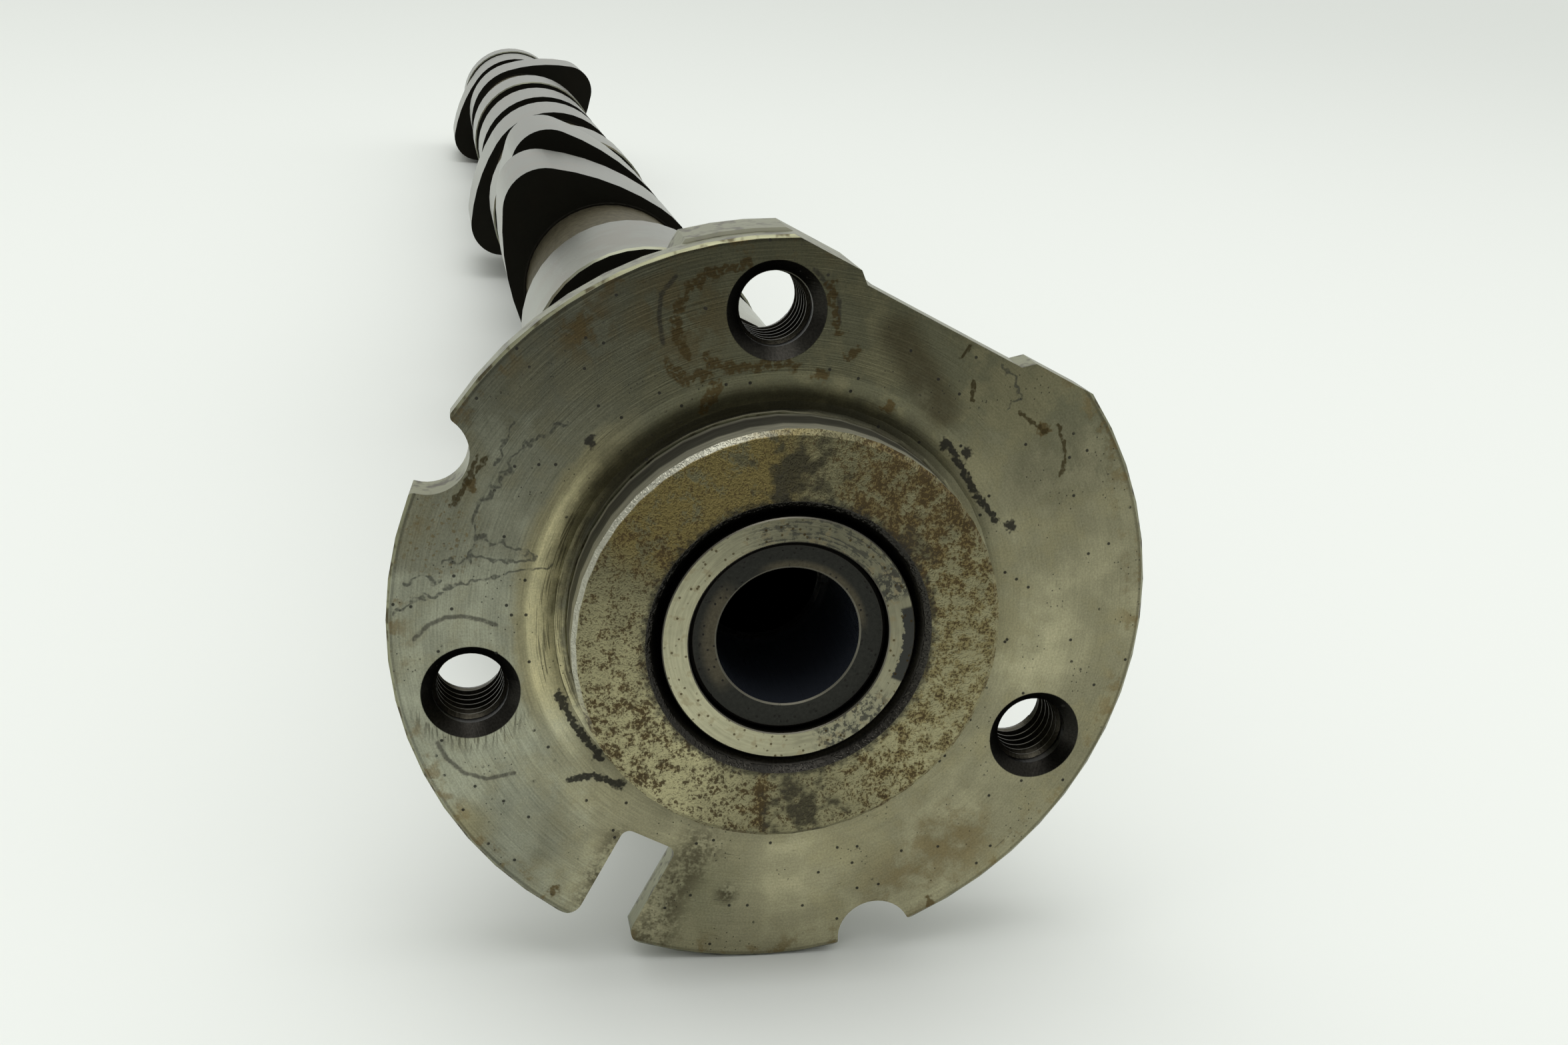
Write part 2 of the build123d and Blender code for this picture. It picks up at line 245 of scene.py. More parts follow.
class Graph:
    """One material, with short calls that add nodes to it. Lengths in it are millimetres.

    Colours stay vectors and numbers stay numbers: each automatic conversion between the two takes
    up room, and a shader that runs out of it renders black.
    """

    def __init__(self, name):
        self.material = bpy.data.materials.new(name)
        self.material.use_nodes = True
        self.nodes = self.material.node_tree.nodes
        self.links = self.material.node_tree.links
        self.shader = self.nodes["Principled BSDF"]
        place = self.nodes.new("ShaderNodeTexCoord")
        self.place = place.outputs["Object"]
        self.point = self.vector("SCALE", self.place, scale=1 / MM)
        self.x, self.y, self.z = self.split(self.point)
        self.front = self.math("MULTIPLY", self.split(place.outputs["Normal"])[1], -1.0)
        self.flat = self.join(self.x, self.z, 0.0)
        self.radius = self.vector("LENGTH", self.flat)
        self.turn = self.math("DEGREES", self.math("ARCTAN2", self.z, self.x))
        self.bent = self.flat

    def put(self, socket, value):
        if isinstance(value, bpy.types.NodeSocket):
            self.links.new(value, socket)
        else:
            socket.default_value = value

    def math(self, operation, a, b=0.0, c=0.0, clamp=False):
        node = self.nodes.new("ShaderNodeMath")
        node.operation = operation
        node.use_clamp = clamp
        for socket, value in zip(node.inputs, (a, b, c)):
            self.put(socket, value)
        return node.outputs[0]

    def add(self, a, b):
        return self.math("ADD", a, b)

    def less(self, a, b):
        return self.math("SUBTRACT", a, b)

    def times(self, *values):
        out = values[0]
        for value in values[1:]:
            out = self.math("MULTIPLY", out, value)
        return out

    def most(self, *values):
        out = values[0]
        for value in values[1:]:
            out = self.math("MAXIMUM", out, value)
        return out

    def least(self, found, value):
        """The lesser of the two, where found is None for a first value."""
        return value if found is None else self.math("MINIMUM", found, value)

    def sway(self, noise, reach):
        """A noise laid about 0, so that it sways what it is added to by about half of reach."""
        return self.times(self.less(noise, MIDDLE), reach)

    def vector(self, operation, a, b=(0, 0, 0), c=(0, 0, 0), scale=None):
        node = self.nodes.new("ShaderNodeVectorMath")
        node.operation = operation
        for socket, value in zip(node.inputs, (a, b, c)):
            self.put(socket, value)
        if scale is not None:
            self.put(node.inputs["Scale"], scale)
        gives_number = operation in ("LENGTH", "DOT_PRODUCT", "DISTANCE")
        return node.outputs["Value"] if gives_number else node.outputs[0]

    def scaled(self, colour, scale):
        return self.vector("SCALE", colour, scale=scale)

    def split(self, vector):
        node = self.nodes.new("ShaderNodeSeparateXYZ")
        self.put(node.inputs[0], vector)
        return node.outputs

    def join(self, x, y, z):
        node = self.nodes.new("ShaderNodeCombineXYZ")
        for socket, value in zip(node.inputs, (x, y, z)):
            self.put(socket, value)
        return node.outputs[0]

    def step(self, value, low, high, start=0.0, end=1.0):
        """start where value is under low, end where it is over high, smooth between."""
        node = self.nodes.new("ShaderNodeMapRange")
        node.interpolation_type = "SMOOTHSTEP"
        for socket, number in zip(node.inputs, (value, low, high, start, end)):
            self.put(socket, number)
        return node.outputs[0]

    def fade(self, value, low, high):
        """1 where value is under low, 0 where it is over high."""
        return self.step(value, low, high, 1.0, 0.0)

    def under(self, value, limit, soft=0.1):
        return self.fade(value, limit - soft, limit + soft)

    def over(self, value, limit, soft=0.1):
        return self.step(value, limit - soft, limit + soft)

    def band(self, value, low, high, soft):
        """1 where value lies between low and high, fading to 0 over soft outside."""
        return self.times(self.step(value, low - soft, low), self.fade(value, high, high + soft))

    def sector(self, middle, half, soft):
        """1 within half degrees of the direction middle, seen from the flange's front."""
        away = self.math("WRAP", self.less(self.turn, middle), 180.0, -180.0)
        return self.fade(self.math("ABSOLUTE", away), half, half + soft)

    def away_from(self, place):
        """Distance to place = (x, z)."""
        return self.vector("DISTANCE", self.flat, (*place, 0.0))

    def spot(self, centre, reach, soft):
        """1 near centre = (x, z), fading out from reach over soft."""
        return self.fade(self.away_from(centre), reach, reach + soft)

    def lay(self, node, scale, seed, stretch=None):
        """Lays a texture on the plane (x, z), or through space with a stretch along x, y and z."""
        laid = node.texture_mapping
        if stretch is None:
            laid.mapping_y, laid.mapping_z = "Z", "NONE"
        laid.translation = (17.3 * seed, -9.1 * seed, 5.7 * seed)
        laid.scale = [scale * along / MM for along in stretch or (1.0, 1.0, 1.0)]
        self.links.new(self.place, node.inputs["Vector"])

    def noise(self, scale, detail=2.0, roughness=0.55, seed=0.0, stretch=None):
        node = self.nodes.new("ShaderNodeTexNoise")
        node.noise_dimensions = "2D" if stretch is None else "3D"
        node.inputs["Scale"].default_value = 1.0
        node.inputs["Detail"].default_value = detail
        node.inputs["Roughness"].default_value = roughness
        self.lay(node, scale, seed, stretch)
        return node.outputs["Fac"]

    def dots(self, scale, size, seed):
        """Separate round dots: 1 inside, 0 outside. size is a share of the cell."""
        node = self.nodes.new("ShaderNodeTexVoronoi")
        node.voronoi_dimensions = "2D"
        node.inputs["Scale"].default_value = 1.0
        self.lay(node, scale, seed)
        return self.fade(node.outputs["Distance"], size * 0.6, size)

    def rings(self, per_mm, around, detail=2.0):
        """Noise drawn out along circles about the shaft's axis, as turning and polishing leave."""
        ux, uz, _ = self.split(self.vector("NORMALIZE", self.flat))
        outwards = self.times(self.radius, per_mm)
        drawn = self.join(outwards, self.times(ux, around), self.times(uz, around))
        node = self.nodes.new("ShaderNodeTexNoise")
        node.inputs["Scale"].default_value = 1.0
        node.inputs["Detail"].default_value = detail
        node.inputs["Roughness"].default_value = 0.6
        self.links.new(drawn, node.inputs["Vector"])
        return node.outputs["Fac"]

    def by_turn(self, table):
        """A value that follows the direction seen from in front, from (degrees, value) pairs."""
        node = self.nodes.new("ShaderNodeValToRGB")
        ramp = node.color_ramp
        for degrees, _ in table[1:-1]:
            ramp.elements.new((degrees + 180) / 360)
        for element, (degrees, value) in zip(ramp.elements, table):
            element.position = (degrees + 180) / 360
            element.color = (value, value, value, value)
        self.put(node.inputs[0], self.math("MULTIPLY_ADD", self.turn, 1 / 360, 0.5))
        return node.outputs["Alpha"]

    def bend(self, scale, reach):
        """Makes lines and marks that are drawn from here on wander by about reach millimetres."""
        shift = [self.sway(self.noise(scale, 1.0, 0.6, seed), 3.0 * reach) for seed in (31.0, 32.0)]
        self.bent = self.vector("ADD", self.flat, self.join(*shift, 0.0))

    def path(self, points):
        """Distance to a line through points (x, z)."""
        found = None
        for start, end in zip(points, points[1:]):
            begin = Vector((*start, 0.0))
            along = Vector((*end, 0.0)) - begin
            unit = along / along.length_squared
            passed = self.vector("DOT_PRODUCT", self.bent, tuple(unit))
            share = self.math("SUBTRACT", passed, begin.dot(unit), clamp=True)
            shares = self.join(share, share, 0.0)
            foot = self.vector("MULTIPLY_ADD", tuple(along), shares, tuple(begin))
            found = self.least(found, self.vector("DISTANCE", self.bent, foot))
        return found

    def drawn(self, paths, width, soft, wobble):
        """Lines along paths, whose width follows wobble."""
        found = None
        for points in paths:
            found = self.least(found, self.path(points))
        return self.fade(self.less(found, self.times(wobble, width)), 0.0, soft)

    def nearest(self, places):
        """Distance to the nearest of places (x, z)."""
        found = None
        for place in places:
            found = self.least(found, self.vector("DISTANCE", self.bent, (*place, 0.0)))
        return found

    def marks(self, places, reach, soft, wobble):
        """Round marks at places (x, z), whose edge follows wobble."""
        return self.fade(self.less(self.nearest(places), self.times(wobble, reach)), 0.0, soft)

    def mix(self, share, a, b):
        node = self.nodes.new("ShaderNodeMix")
        node.data_type = "VECTOR"
        self.put(node.inputs["Factor"], share)
        self.put(node.inputs[4], a)
        self.put(node.inputs[5], b)
        return node.outputs[1]

    def blend(self, share, a, b):
        node = self.nodes.new("ShaderNodeMix")
        node.data_type = "FLOAT"
        self.put(node.inputs["Factor"], share)
        self.put(node.inputs[2], a)
        self.put(node.inputs[3], b)
        return node.outputs[0]

    def tint(self, share, colour, low, high):
        """colour, scaled from low to high by share."""
        return self.scaled(colour, self.blend(share, low, high))

    def finish(self, colour, roughness, metallic, height, depth):
        """Wires the shader. depth is the bump's height in millimetres."""
        self.put(self.shader.inputs["Base Color"], colour)
        self.put(self.shader.inputs["Roughness"], roughness)
        self.put(self.shader.inputs["Metallic"], metallic)
        bump = self.nodes.new("ShaderNodeBump")
        bump.inputs["Distance"].default_value = depth * MM
        bump.inputs["Strength"].default_value = 1.0
        self.put(bump.inputs["Height"], height)
        self.put(self.shader.inputs["Normal"], bump.outputs[0])
        return self.material


def oil_film_and_shade(g, cloud, swing):
    """Where the oil film lies, on the left down to a tide line and on the right, with the top of
    the face darkened as painted shade and a darker place by the slot.
    """
    left_tide = g.less(g.z, g.times(g.add(g.x, 23.0), 0.16))
    above_tide = g.step(g.add(left_tide, g.times(swing, 1.5)), 4.9, 6.0)
    on_left = g.times(above_tide, g.step(g.x, -18.0, -9.0, 0.75, 0.0))
    # Painted shade: the top of the face is darkened with the oiled colour
    shade_on_top = g.step(g.add(g.z, g.times(swing, 9.0)), 8.0, 20.0)
    by_slot = g.times(g.spot(*DARKER_BY_SLOT), 0.8)
    on_right = g.times(g.step(g.x, 0.0, 14.0), 0.30)
    return g.add(g.most(on_left, shade_on_top, by_slot, on_right), g.sway(cloud, 0.9))


def add_varnish(g, colour, cloud, patch, swing):
    """Yellow varnish: a band left of the boss, clouds on the right, a streak low on the left."""
    close = g.band(g.add(g.radius, g.times(swing, 2.0)), 19.0, 22.0, 1.4)
    beside_boss = g.times(close, g.sector(*VARNISHED_LEFT))
    cloudy = g.step(g.add(cloud, g.times(swing, 0.6)), 0.42, 0.66)
    clouds = g.times(cloudy, g.step(g.x, -4.0, 10.0, 0.2, 0.5))
    low_streak = g.times(g.spot(*VARNISHED_LOW), 0.8)
    yellow = g.most(g.times(beside_boss, 0.85), clouds, low_streak)
    return g.mix(yellow, colour, g.tint(patch, VARNISH, 0.6, 1.2))


def add_painted_light_and_shade(g, colour):
    """Painted light and shade: a painted highlight band left of the boss, a painted paler place low
    down, painted shade at a few places, and a darker ring at the face's edge.
    """
    lit_band = g.times(g.band(g.radius, 19.0, 21.2, 0.8), g.sector(*LIT_LEFT))
    lit = g.add(g.times(lit_band, 0.95), g.times(g.spot(*LIT_LOW), 0.25))
    by_hole = g.times(g.spot(*DIM_BY_HOLE), 0.2)
    at_edge = g.under(g.math("ABSOLUTE", g.less(g.radius, 32.6)), 0.12, 0.1)
    dimmed = g.add(by_hole, g.times(at_edge, 0.35))
    low_left = g.times(g.spot(*DIM_LOW_LEFT), 0.28)
    dimmed = g.add(dimmed, g.add(low_left, g.times(g.spot(*DIM_RIGHT), 0.22)))
    return g.scaled(colour, g.less(g.add(1.0, lit), dimmed))


def add_brown_stains(g, colour, cloud, patch, swing, wobble):
    """Brown stains: low on the right, the rim, a wedge by the flat, specks on the left."""
    stained = g.most(g.spot(*STAINED_RIGHT), g.spot(*STAINED_LOW))
    stained = g.times(stained, g.step(g.add(cloud, g.times(swing, 0.8)), 0.30, 0.62), 0.6)
    at_top = g.times(g.spot(*STAINED_TOP), 0.8)
    at_top = g.most(at_top, g.times(g.spot(*STAINED_BY_HOLE), 0.45))
    stained = g.most(stained, g.times(at_top, g.step(patch, 0.36, 0.60)))
    at_rim = g.times(g.step(g.radius, 30.0, 32.8), g.step(patch, 0.52, 0.66), 0.6)
    wedge = g.under(g.path(STAINED_WEDGE), 1.6, 1.0)
    wedge = g.times(wedge, g.step(patch, 0.2, 0.6, 0.5, 0.85))
    specks = g.times(g.dots(1.5, 0.34, 1.0), g.spot(*SPECKLED), g.step(wobble, 0.45, 0.6))
    brown = g.most(stained, at_rim, g.times(specks, 0.6))
    colour = g.mix(brown, colour, g.tint(patch, OIL_BROWN, 0.8, 1.9))
    return g.mix(wedge, colour, WEDGE_BROWN)


def add_dark_oil_and_shade(g, colour, patch, swing, wobble):
    """Dark close to the boss, thickest above it, partly oil and partly painted shade under the boss
    and in its groove, and smudges beside the slot.
    """
    away = g.less(g.add(g.radius, g.times(swing, 2.5)), BOSS_RADIUS)
    # Partly oil and partly painted shade: dark above the boss and at its foot
    oil_and_shade_above = g.times(g.fade(away, 0.2, 3.6), g.sector(*OIL_AND_SHADE_ABOVE_BOSS), 0.78)
    oil_and_shade_at_foot = g.times(g.fade(away, 0.1, 2.2), g.sector(*OIL_AND_SHADE_UPPER_LEFT), 0.75)
    oil_and_shade_at_foot = g.most(oil_and_shade_at_foot, g.times(g.fade(away, 0.1, 0.8), g.sector(*OIL_AND_SHADE_LEFT), 0.6))
    colour = g.mix(g.most(oil_and_shade_above, oil_and_shade_at_foot), colour, OIL_AND_SHADE_BY_BOSS)
    smudges = g.most(*[g.spot(*place) for place in SLOT_SMUDGES])
    by_right = g.step(g.path(RIGHT_OF_SLOT), 0.5, 3.2, 0.9, 0.0)
    by_left = g.step(g.path(LEFT_OF_SLOT), 0.3, 2.4, 0.8, 0.0)
    smudges = g.most(smudges, by_right, by_left)
    broken = g.step(g.add(patch, g.sway(wobble, 0.5)), 0.32, 0.62)
    return g.mix(g.times(smudges, broken, 0.8), colour, SLOT_SMUDGE)


def add_marks(g, colour, patch, wobble, fine_rings):
    """Washer marks, hairlines, tide lines, brown lines and black scratches, each over the last."""
    washed = g.drawn(WASHER_MARKS, 0.16, 0.20, wobble)
    washed = g.times(washed, g.step(wobble, 0.15, 0.5, 0.35, 0.75))
    colour = g.mix(washed, colour, WASHER_GREY)
    from_hole = g.away_from(HOLE_CENTRES[1])
    hairs = g.over(g.noise(1.0, 0.0, 0.5, 9.0, (4.5, 0.0, 0.5)), 0.56, 0.04)
    by_hole = g.step(from_hole, 4.3, 6.0, 0.8, 0.0)
    hairs = g.times(0.7, hairs, by_hole, g.under(g.z, -8.0, 1.0))
    dashes = g.times(
        g.over(fine_rings, 0.56, 0.05), g.band(g.radius, 18.4, 20.3, 1.2),
        g.sector(*DASHED_LEFT), 0.65,
    )
    colour = g.mix(g.most(hairs, dashes), colour, HAIR_BROWN)

    g.bend(0.9, 0.45)
    tide = g.times(g.drawn(TIDE_LINES, 0.11, 0.17, wobble), g.step(wobble, 0.25, 0.60, 0.2, 0.75))
    colour = g.mix(tide, colour, TIDE_GREY)
    brown = g.times(g.drawn(BROWN_LINES, 0.55, 0.35, wobble), g.step(wobble, 0.22, 0.50))
    brown = g.most(brown, g.marks(BROWN_BLOTS, 0.75, 0.35, wobble))
    colour = g.mix(g.times(brown, 0.85), colour, OIL_BROWN)

    g.bend(1.6, 0.16)
    thin = g.drawn(THIN_BROWN_LINES, 0.20, 0.14, wobble)
    thin = g.times(thin, g.step(wobble, 0.2, 0.5, 0.3, 0.85))
    colour = g.mix(thin, colour, THIN_BROWN)
    scratched = g.drawn(BLACK_SCRATCHES, 0.44, 0.16, wobble)
    scratched = g.times(scratched, g.step(wobble, 0.2, 0.45, 0.6, 1.0))
    black = g.most(scratched, g.marks(BLOTS, 0.70, 0.30, wobble))
    specks = g.times(g.dots(0.34, 0.06, 2.0), g.over(g.noise(0.3, 0.0, seed=4.0), 0.52, 0.04))
    fine_specks = g.dots(1.1, 0.09, 3.0)
    fine_specks = g.times(fine_specks, g.over(g.noise(0.25, 1.0, seed=5.0), 0.62, 0.04), 0.8)
    ticks = g.times(g.over(fine_rings, 0.68, 0.03), g.over(patch, 0.55, 0.05), 0.5)
    black = g.most(black, specks, fine_specks, ticks)
    return g.mix(g.times(black, 0.88), colour, SOOT), black


def face_colour(g, fine_rings):
    """Flange's front: ground steel, an oil film with tide lines, brown stains, black scratches, and
    painted light and shade.
    """
    cloud = g.noise(0.12, 2.0, seed=1.0)
    patch = g.noise(0.45, 4.0, 0.65, seed=2.0)
    wobble = g.noise(2.4, 1.0, 0.7, seed=3.0)
    swing = g.less(patch, MIDDLE)
    smoke = g.noise(0.20, 2.0, 0.6, seed=15.0)

    # film holds the oil film and also the painted shade on the top of the face
    film = oil_film_and_shade(g, cloud, swing)
    from_left = g.step(g.add(g.x, g.times(swing, 8.0)), -24.0, -13.0)
    steel = g.mix(from_left, CLEAN_STEEL, WARM_STEEL)
    # Painted sheen on the right of the face, and a darker place lower on the right
    brighter = g.add(1.0, g.times(g.spot(*SHEEN_RIGHT), 0.35))
    steel = g.scaled(steel, g.add(brighter, g.times(g.spot(*DARKER_RIGHT), -0.25)))
    steel = g.scaled(steel, g.step(smoke, 0.34, 0.62, 1.11, 0.88))
    oiled = g.mix(g.step(g.x, -20.0, -6.0), OILED_AND_SHADED_STEEL_LEFT, OILED_AND_SHADED_STEEL)
    colour = g.mix(g.math("ADD", film, g.times(swing, 0.6), clamp=True), steel, oiled)

    colour = add_varnish(g, colour, cloud, patch, swing)
    colour = add_painted_light_and_shade(g, colour)
    colour = add_brown_stains(g, colour, cloud, patch, swing, wobble)
    colour = add_dark_oil_and_shade(g, colour, patch, swing, wobble)
    colour, black = add_marks(g, colour, patch, wobble, fine_rings)
    return colour, black, film


def boss_colour(g, grain):
    """Boss's front: pale steel, amber film, rust pits in clusters, dark smooth patches, painted
    shade at its top and a painted highlight on its upper-left edge.
    """
    patch = g.noise(0.55, 2.0, 0.6, seed=11.0)
    clusters = g.noise(0.75, 2.0, 0.6, seed=12.0)
    pitting = g.noise(3.3, 3.0, 0.75, seed=13.0)
    thick = g.by_turn(PITTING)
    mottle = g.add(g.times(patch, 0.6), g.times(grain, 0.4))
    # Brightness by direction: partly tone, partly painted shade at the top
    colour = g.scaled(g.tint(mottle, BOSS_STEEL, 0.6, 1.4), g.by_turn(BOSS_TONE_AND_SHADE))

    amber = g.sector(*BOSS_AMBER)
    amber = g.times(amber, g.step(g.add(patch, g.sway(pitting, 0.8)), 0.25, 0.5))
    ochre = g.sector(*BOSS_OCHRE)
    ochre = g.times(ochre, g.step(g.add(clusters, g.sway(pitting, 0.7)), 0.38, 0.60))
    colour = g.mix(g.most(g.times(amber, 0.85), g.times(ochre, 0.6)), colour, AMBER)

    rusty = g.add(thick, g.sway(clusters, 1.1))
    rusty = g.step(g.add(rusty, g.sway(pitting, 0.5)), 0.5, 0.9)
    colour = g.mix(g.times(rusty, 0.85), colour, RUST)
    level = g.add(g.add(pitting, g.sway(thick, 0.34)), g.sway(clusters, 0.50))
    pits = g.step(level, 0.565, 0.645)
    rounds = g.times(
        g.dots(1.7, 0.34, 4.0), g.sector(*BOSS_ROUND_PITS), g.over(clusters, 0.50, 0.05)
    )
    ticks = g.times(g.dots(2.6, 0.26, 5.0), g.over(clusters, 0.46, 0.06))
    pits = g.most(pits, rounds, g.times(ticks, 0.7))
    colour = g.mix(g.times(pits, 0.85), colour, g.tint(patch, PIT, 0.6, 2.0))

    shift = g.sway(patch, 9.0)
    patches = [
        g.step(g.add(shift, g.away_from(place)), *fade, strength, 0.0)
        for place, fade, strength in BOSS_PATCHES
    ]
    smooth = g.times(g.most(*patches), g.step(pitting, 0.15, 0.55, 0.6, 0.95))
    colour = g.mix(smooth, colour, BOSS_SMUDGE)
    # Painted highlight along the chamfer on the boss's upper left
    edge = g.times(g.over(g.y, BOSS_FRONT + 0.06, 0.04), g.sector(*BOSS_BRIGHT_EDGE))
    colour = g.mix(edge, colour, BOSS_EDGE_HIGHLIGHT)
    ragged = g.add(g.radius, g.times(g.noise(1.6, 1.0, seed=14.0), 1.4))
    colour = g.mix(g.times(g.fade(ragged, 12.7, 13.6), 0.75), colour, BLACK_OIL_AND_SHADE)
    return colour, pits


def wall_colour(g, along):
    """Boss's side: turned steel, with painted bright reflection bands near its front and at its
    foot, darker between, and a painted lit top.
    """
    # Painted highlight bands, standing in for reflections on the turned wall
    pale = g.most(g.band(g.y, -4.7, -3.3, 0.5), g.times(g.over(g.y, -0.7, 0.25), 0.9))
    colour = g.tint(along, WALL_STEEL, 0.5, 1.6)
    bright = g.blend(pale, 0.45, 1.5)
    # The wall's top is painted lighter, as painted light
    return g.scaled(colour, g.times(bright, g.blend(g.sector(*WALL_LIT), 0.6, 1.0)))


def shaft_colour(g, is_core, side_face):
    """Shaft: polished bands, duller the farther back, side faces near black from soot and painted
    shade, brown cast core.
    """
    streak = g.noise(1.0, 1.0, 0.6, 21.0, (0.25, 4.0, 0.25))
    bright = g.blend(streak, 0.65, 1.2)
    worn = g.scaled(POLISHED, g.times(bright, g.step(g.y, 35.0, 130.0, 0.88, 0.34)))
    film = g.step(g.noise(0.14, 2.0, 0.6, 22.0, THROUGH_SPACE), 0.46, 0.64)
    worn = g.mix(g.times(film, 0.6), worn, SHAFT_FILM)
    cast = g.mix(g.noise(0.9, 2.0, 0.7, 23.0, THROUGH_SPACE), CAST_DARK, CAST_PALE)
    colour = g.mix(is_core, worn, cast)
    # Side faces near black: partly soot, partly painted shade between the cams
    return g.mix(g.times(side_face, 0.95), colour, CAM_SIDE_SOOT_AND_SHADE)


def camshaft_material():
    """The whole casting in one material. Its regions are told apart by place and by facing."""
    g = Graph("camshaft_metal")
    faces_along = g.step(g.math("ABSOLUTE", g.front), 0.7, 0.9)
    side_face = g.times(faces_along, g.under(g.y, SHAFT_END - 5.0, 1.0))
    faces_front = g.over(g.front, 0.5, 0.05)
    in_face = g.times(faces_front, g.over(g.y, -0.15, 0.05), g.under(g.y, 0.55, 0.05))
    in_face = g.times(in_face, g.under(g.radius, FLANGE_RADIUS - RIM_BEVEL, 0.04))
    before_wall = BOSS_FRONT + BOSS_CHAMFER + 0.02
    in_boss = g.times(g.over(g.front, 0.6, 0.03), g.under(g.y, before_wall, 0.02))
    in_wall = g.under(g.y, -0.1, 0.05)
    in_mouth = g.times(g.under(g.radius, MOUTH_RADIUS + 0.02, 0.03), g.under(g.y, 40.0, 0.5))
    behind = g.over(g.y, HUB_BACK - 0.1, 0.2)
    in_holes = g.under(g.nearest(HOLE_CENTRES), COUNTERSINK + 0.02, 0.05)
    in_holes = g.times(in_holes, g.under(g.y, HUB_BACK + 0.3, 0.1))
    is_core = g.under(g.radius, CORE_RADIUS + 0.3, 0.12)

    fine_rings = g.rings(6.5, 5.0)
    grain = g.noise(5.5, 2.0, 0.7, seed=6.0)
    along = g.noise(1.0, 1.0, 0.6, 7.0, (0.4, 5.0, 0.4))

    face, black, film = face_colour(g, fine_rings)
    ringed = g.times(g.less(fine_rings, MIDDLE), g.step(g.x, -16.0, 0.0, 0.75, 0.32))
    face = g.scaled(face, g.add(g.add(1.0, ringed), g.sway(grain, 0.6)))
    boss, pits = boss_colour(g, grain)
    rim_noise = g.noise(0.7, 2.0, 0.7, 8.0, THROUGH_SPACE)
    rim_stained = g.step(rim_noise, 0.48, 0.66)
    rim = g.mix(rim_stained, g.tint(along, RIM_STEEL, 0.7, 1.3), RIM_STAIN)

    colour = g.mix(in_face, rim, face)
    colour = g.mix(in_wall, colour, wall_colour(g, along))
    colour = g.mix(in_boss, colour, boss)
    colour = g.mix(behind, colour, shaft_colour(g, is_core, side_face))
    colour = g.mix(in_holes, colour, g.tint(grain, BLACK_OIL_AND_SHADE, 0.3, 1.2))
    # The mouth and the bore inside it are dark, partly oil and partly painted shade
    colour = g.mix(in_mouth, colour, g.tint(grain, BLACK_OIL_AND_SHADE, 0.8, 2.6))

    rough_part = g.times(behind, g.most(is_core, side_face))
    dirty = g.most(g.times(in_boss, pits), g.times(in_face, black))
    # The pads stand out of the tapered rim by a small ledge, which a pale colour hides: painted
    # light over its shade
    at_back = g.band(g.y, PLATE_BACK - 0.3, PLATE_BACK + 0.3, 0.1)
    ledge = g.times(faces_front, at_back, g.over(g.radius, FLANGE_RADIUS - 0.6, 0.1))
    colour = g.mix(ledge, colour, PAINTED_LEDGE_LIGHT)

    roughness = g.blend(in_face, 0.36, g.add(0.40, g.sway(film, -0.08)))
    for region, value in (
        (in_wall, 0.58),
        (in_boss, 0.44),
        (behind, 0.25),
        (rough_part, 0.60),
    ):
        roughness = g.blend(region, roughness, value)
    roughness = g.blend(g.most(in_holes, in_mouth), roughness, 0.28)
    roughness = g.blend(dirty, roughness, 0.70)
    metallic = g.blend(ledge, g.blend(dirty, 1.0, 0.65), 0.0)

    lumps = g.noise(1.3, 1.0, 0.7, 9.0, THROUGH_SPACE)
    pocks = g.fade(g.noise(3.3, 1.0, 0.75, seed=13.0), 0.42, 0.62)
    turned = g.times(fine_rings, 0.4)
    cast = g.times(behind, is_core, lumps, 5.0)
    height = g.add(turned, g.add(cast, g.times(in_boss, pocks)))
    return g.finish(colour, roughness, metallic, height, 0.03)


